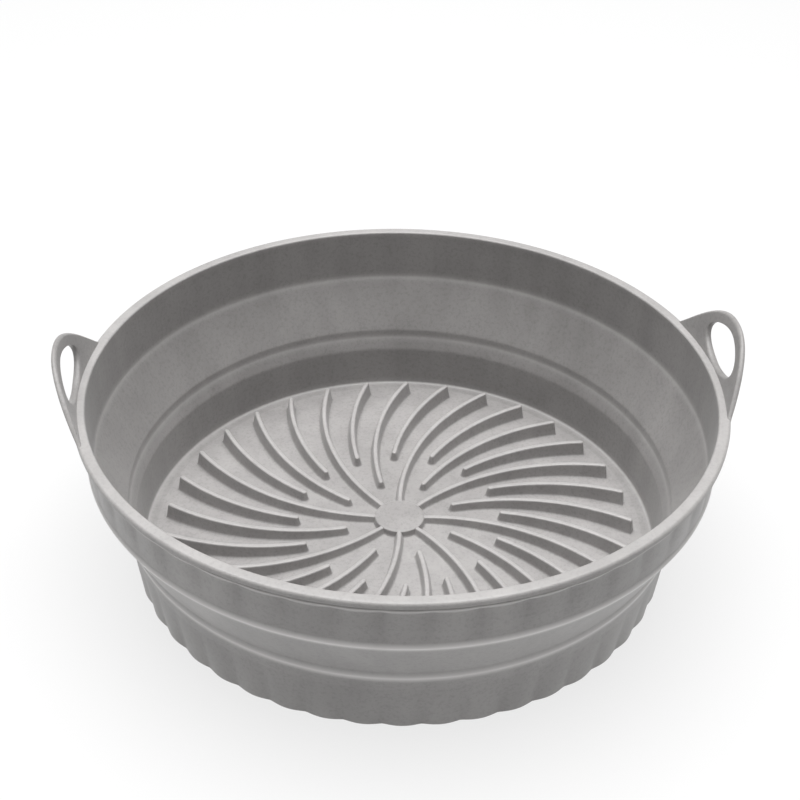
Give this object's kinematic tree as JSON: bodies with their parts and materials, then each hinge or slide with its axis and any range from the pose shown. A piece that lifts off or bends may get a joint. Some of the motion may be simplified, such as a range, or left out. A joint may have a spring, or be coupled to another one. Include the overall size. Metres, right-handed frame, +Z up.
{
  "type": "collapsible silicone air fryer basket",
  "caption": "Round collapsible silicone air fryer basket with a spiral-ribbed floor, fluted walls, a fold-down middle wall and two finger-loop ears.",
  "frame": {"origin": "centre of the foot, at table height", "axes": "+Z up, the two ears on the X axis, right ear on +X"},
  "size_m": [0.2142, 0.205, 0.0784],
  "materials": {
    "silicone": "satin",
    "silicone_floor": "satin"
  },
  "bodies": {
    "base": {"floor_panel": "silicone_floor", "foot_ring": "silicone", "centre_hub": "silicone_floor", "long_rib_1": "silicone_floor", "long_rib_2": "silicone_floor", "long_rib_3": "silicone_floor", "long_rib_4": "silicone_floor", "long_rib_5": "silicone_floor", "long_rib_6": "silicone_floor", "long_rib_7": "silicone_floor", "long_rib_8": "silicone_floor", "medium_rib_1": "silicone_floor", "medium_rib_2": "silicone_floor", "medium_rib_3": "silicone_floor", "medium_rib_4": "silicone_floor", "medium_rib_5": "silicone_floor", "medium_rib_6": "silicone_floor", "medium_rib_7": "silicone_floor", "medium_rib_8": "silicone_floor", "short_rib_1": "silicone_floor", "short_rib_2": "silicone_floor", "short_rib_3": "silicone_floor", "short_rib_4": "silicone_floor", "short_rib_5": "silicone_floor", "short_rib_6": "silicone_floor", "short_rib_7": "silicone_floor", "short_rib_8": "silicone_floor", "short_rib_9": "silicone_floor", "short_rib_10": "silicone_floor", "short_rib_11": "silicone_floor", "short_rib_12": "silicone_floor", "short_rib_13": "silicone_floor", "short_rib_14": "silicone_floor", "short_rib_15": "silicone_floor", "short_rib_16": "silicone_floor", "lower_wall": "silicone", "lower_fold": "silicone", "cone_wall": "silicone"},
    "upper_ring": {"upper_fold": "silicone", "upper_wall": "silicone", "under_lip_bead": "silicone", "lip": "silicone", "left_ear_root": "silicone", "right_ear_root": "silicone"},
    "left_ear": {"left_ear_loop": "silicone"},
    "right_ear": {"right_ear_loop": "silicone"}
  },
  "joints": [
    {"name": "wall_fold", "type": "slide", "parent": "base", "child": "upper_ring", "axis": [0, 0, -1], "range_m": [0, 0.0374], "deforming": ["cone_wall"]},
    {"name": "left_ear_bend", "type": "hinge", "parent": "upper_ring", "child": "left_ear", "pos_m": [-0.10332, 0, 0.0618], "axis": [0, -1, 0], "range_deg": [0, 40], "stiffness_Nm_per_rad": 0.02},
    {"name": "right_ear_bend", "type": "hinge", "parent": "upper_ring", "child": "right_ear", "pos_m": [0.10332, 0, 0.0618], "axis": [0, 1, 0], "range_deg": [0, 40], "stiffness_Nm_per_rad": 0.02}
  ]
}
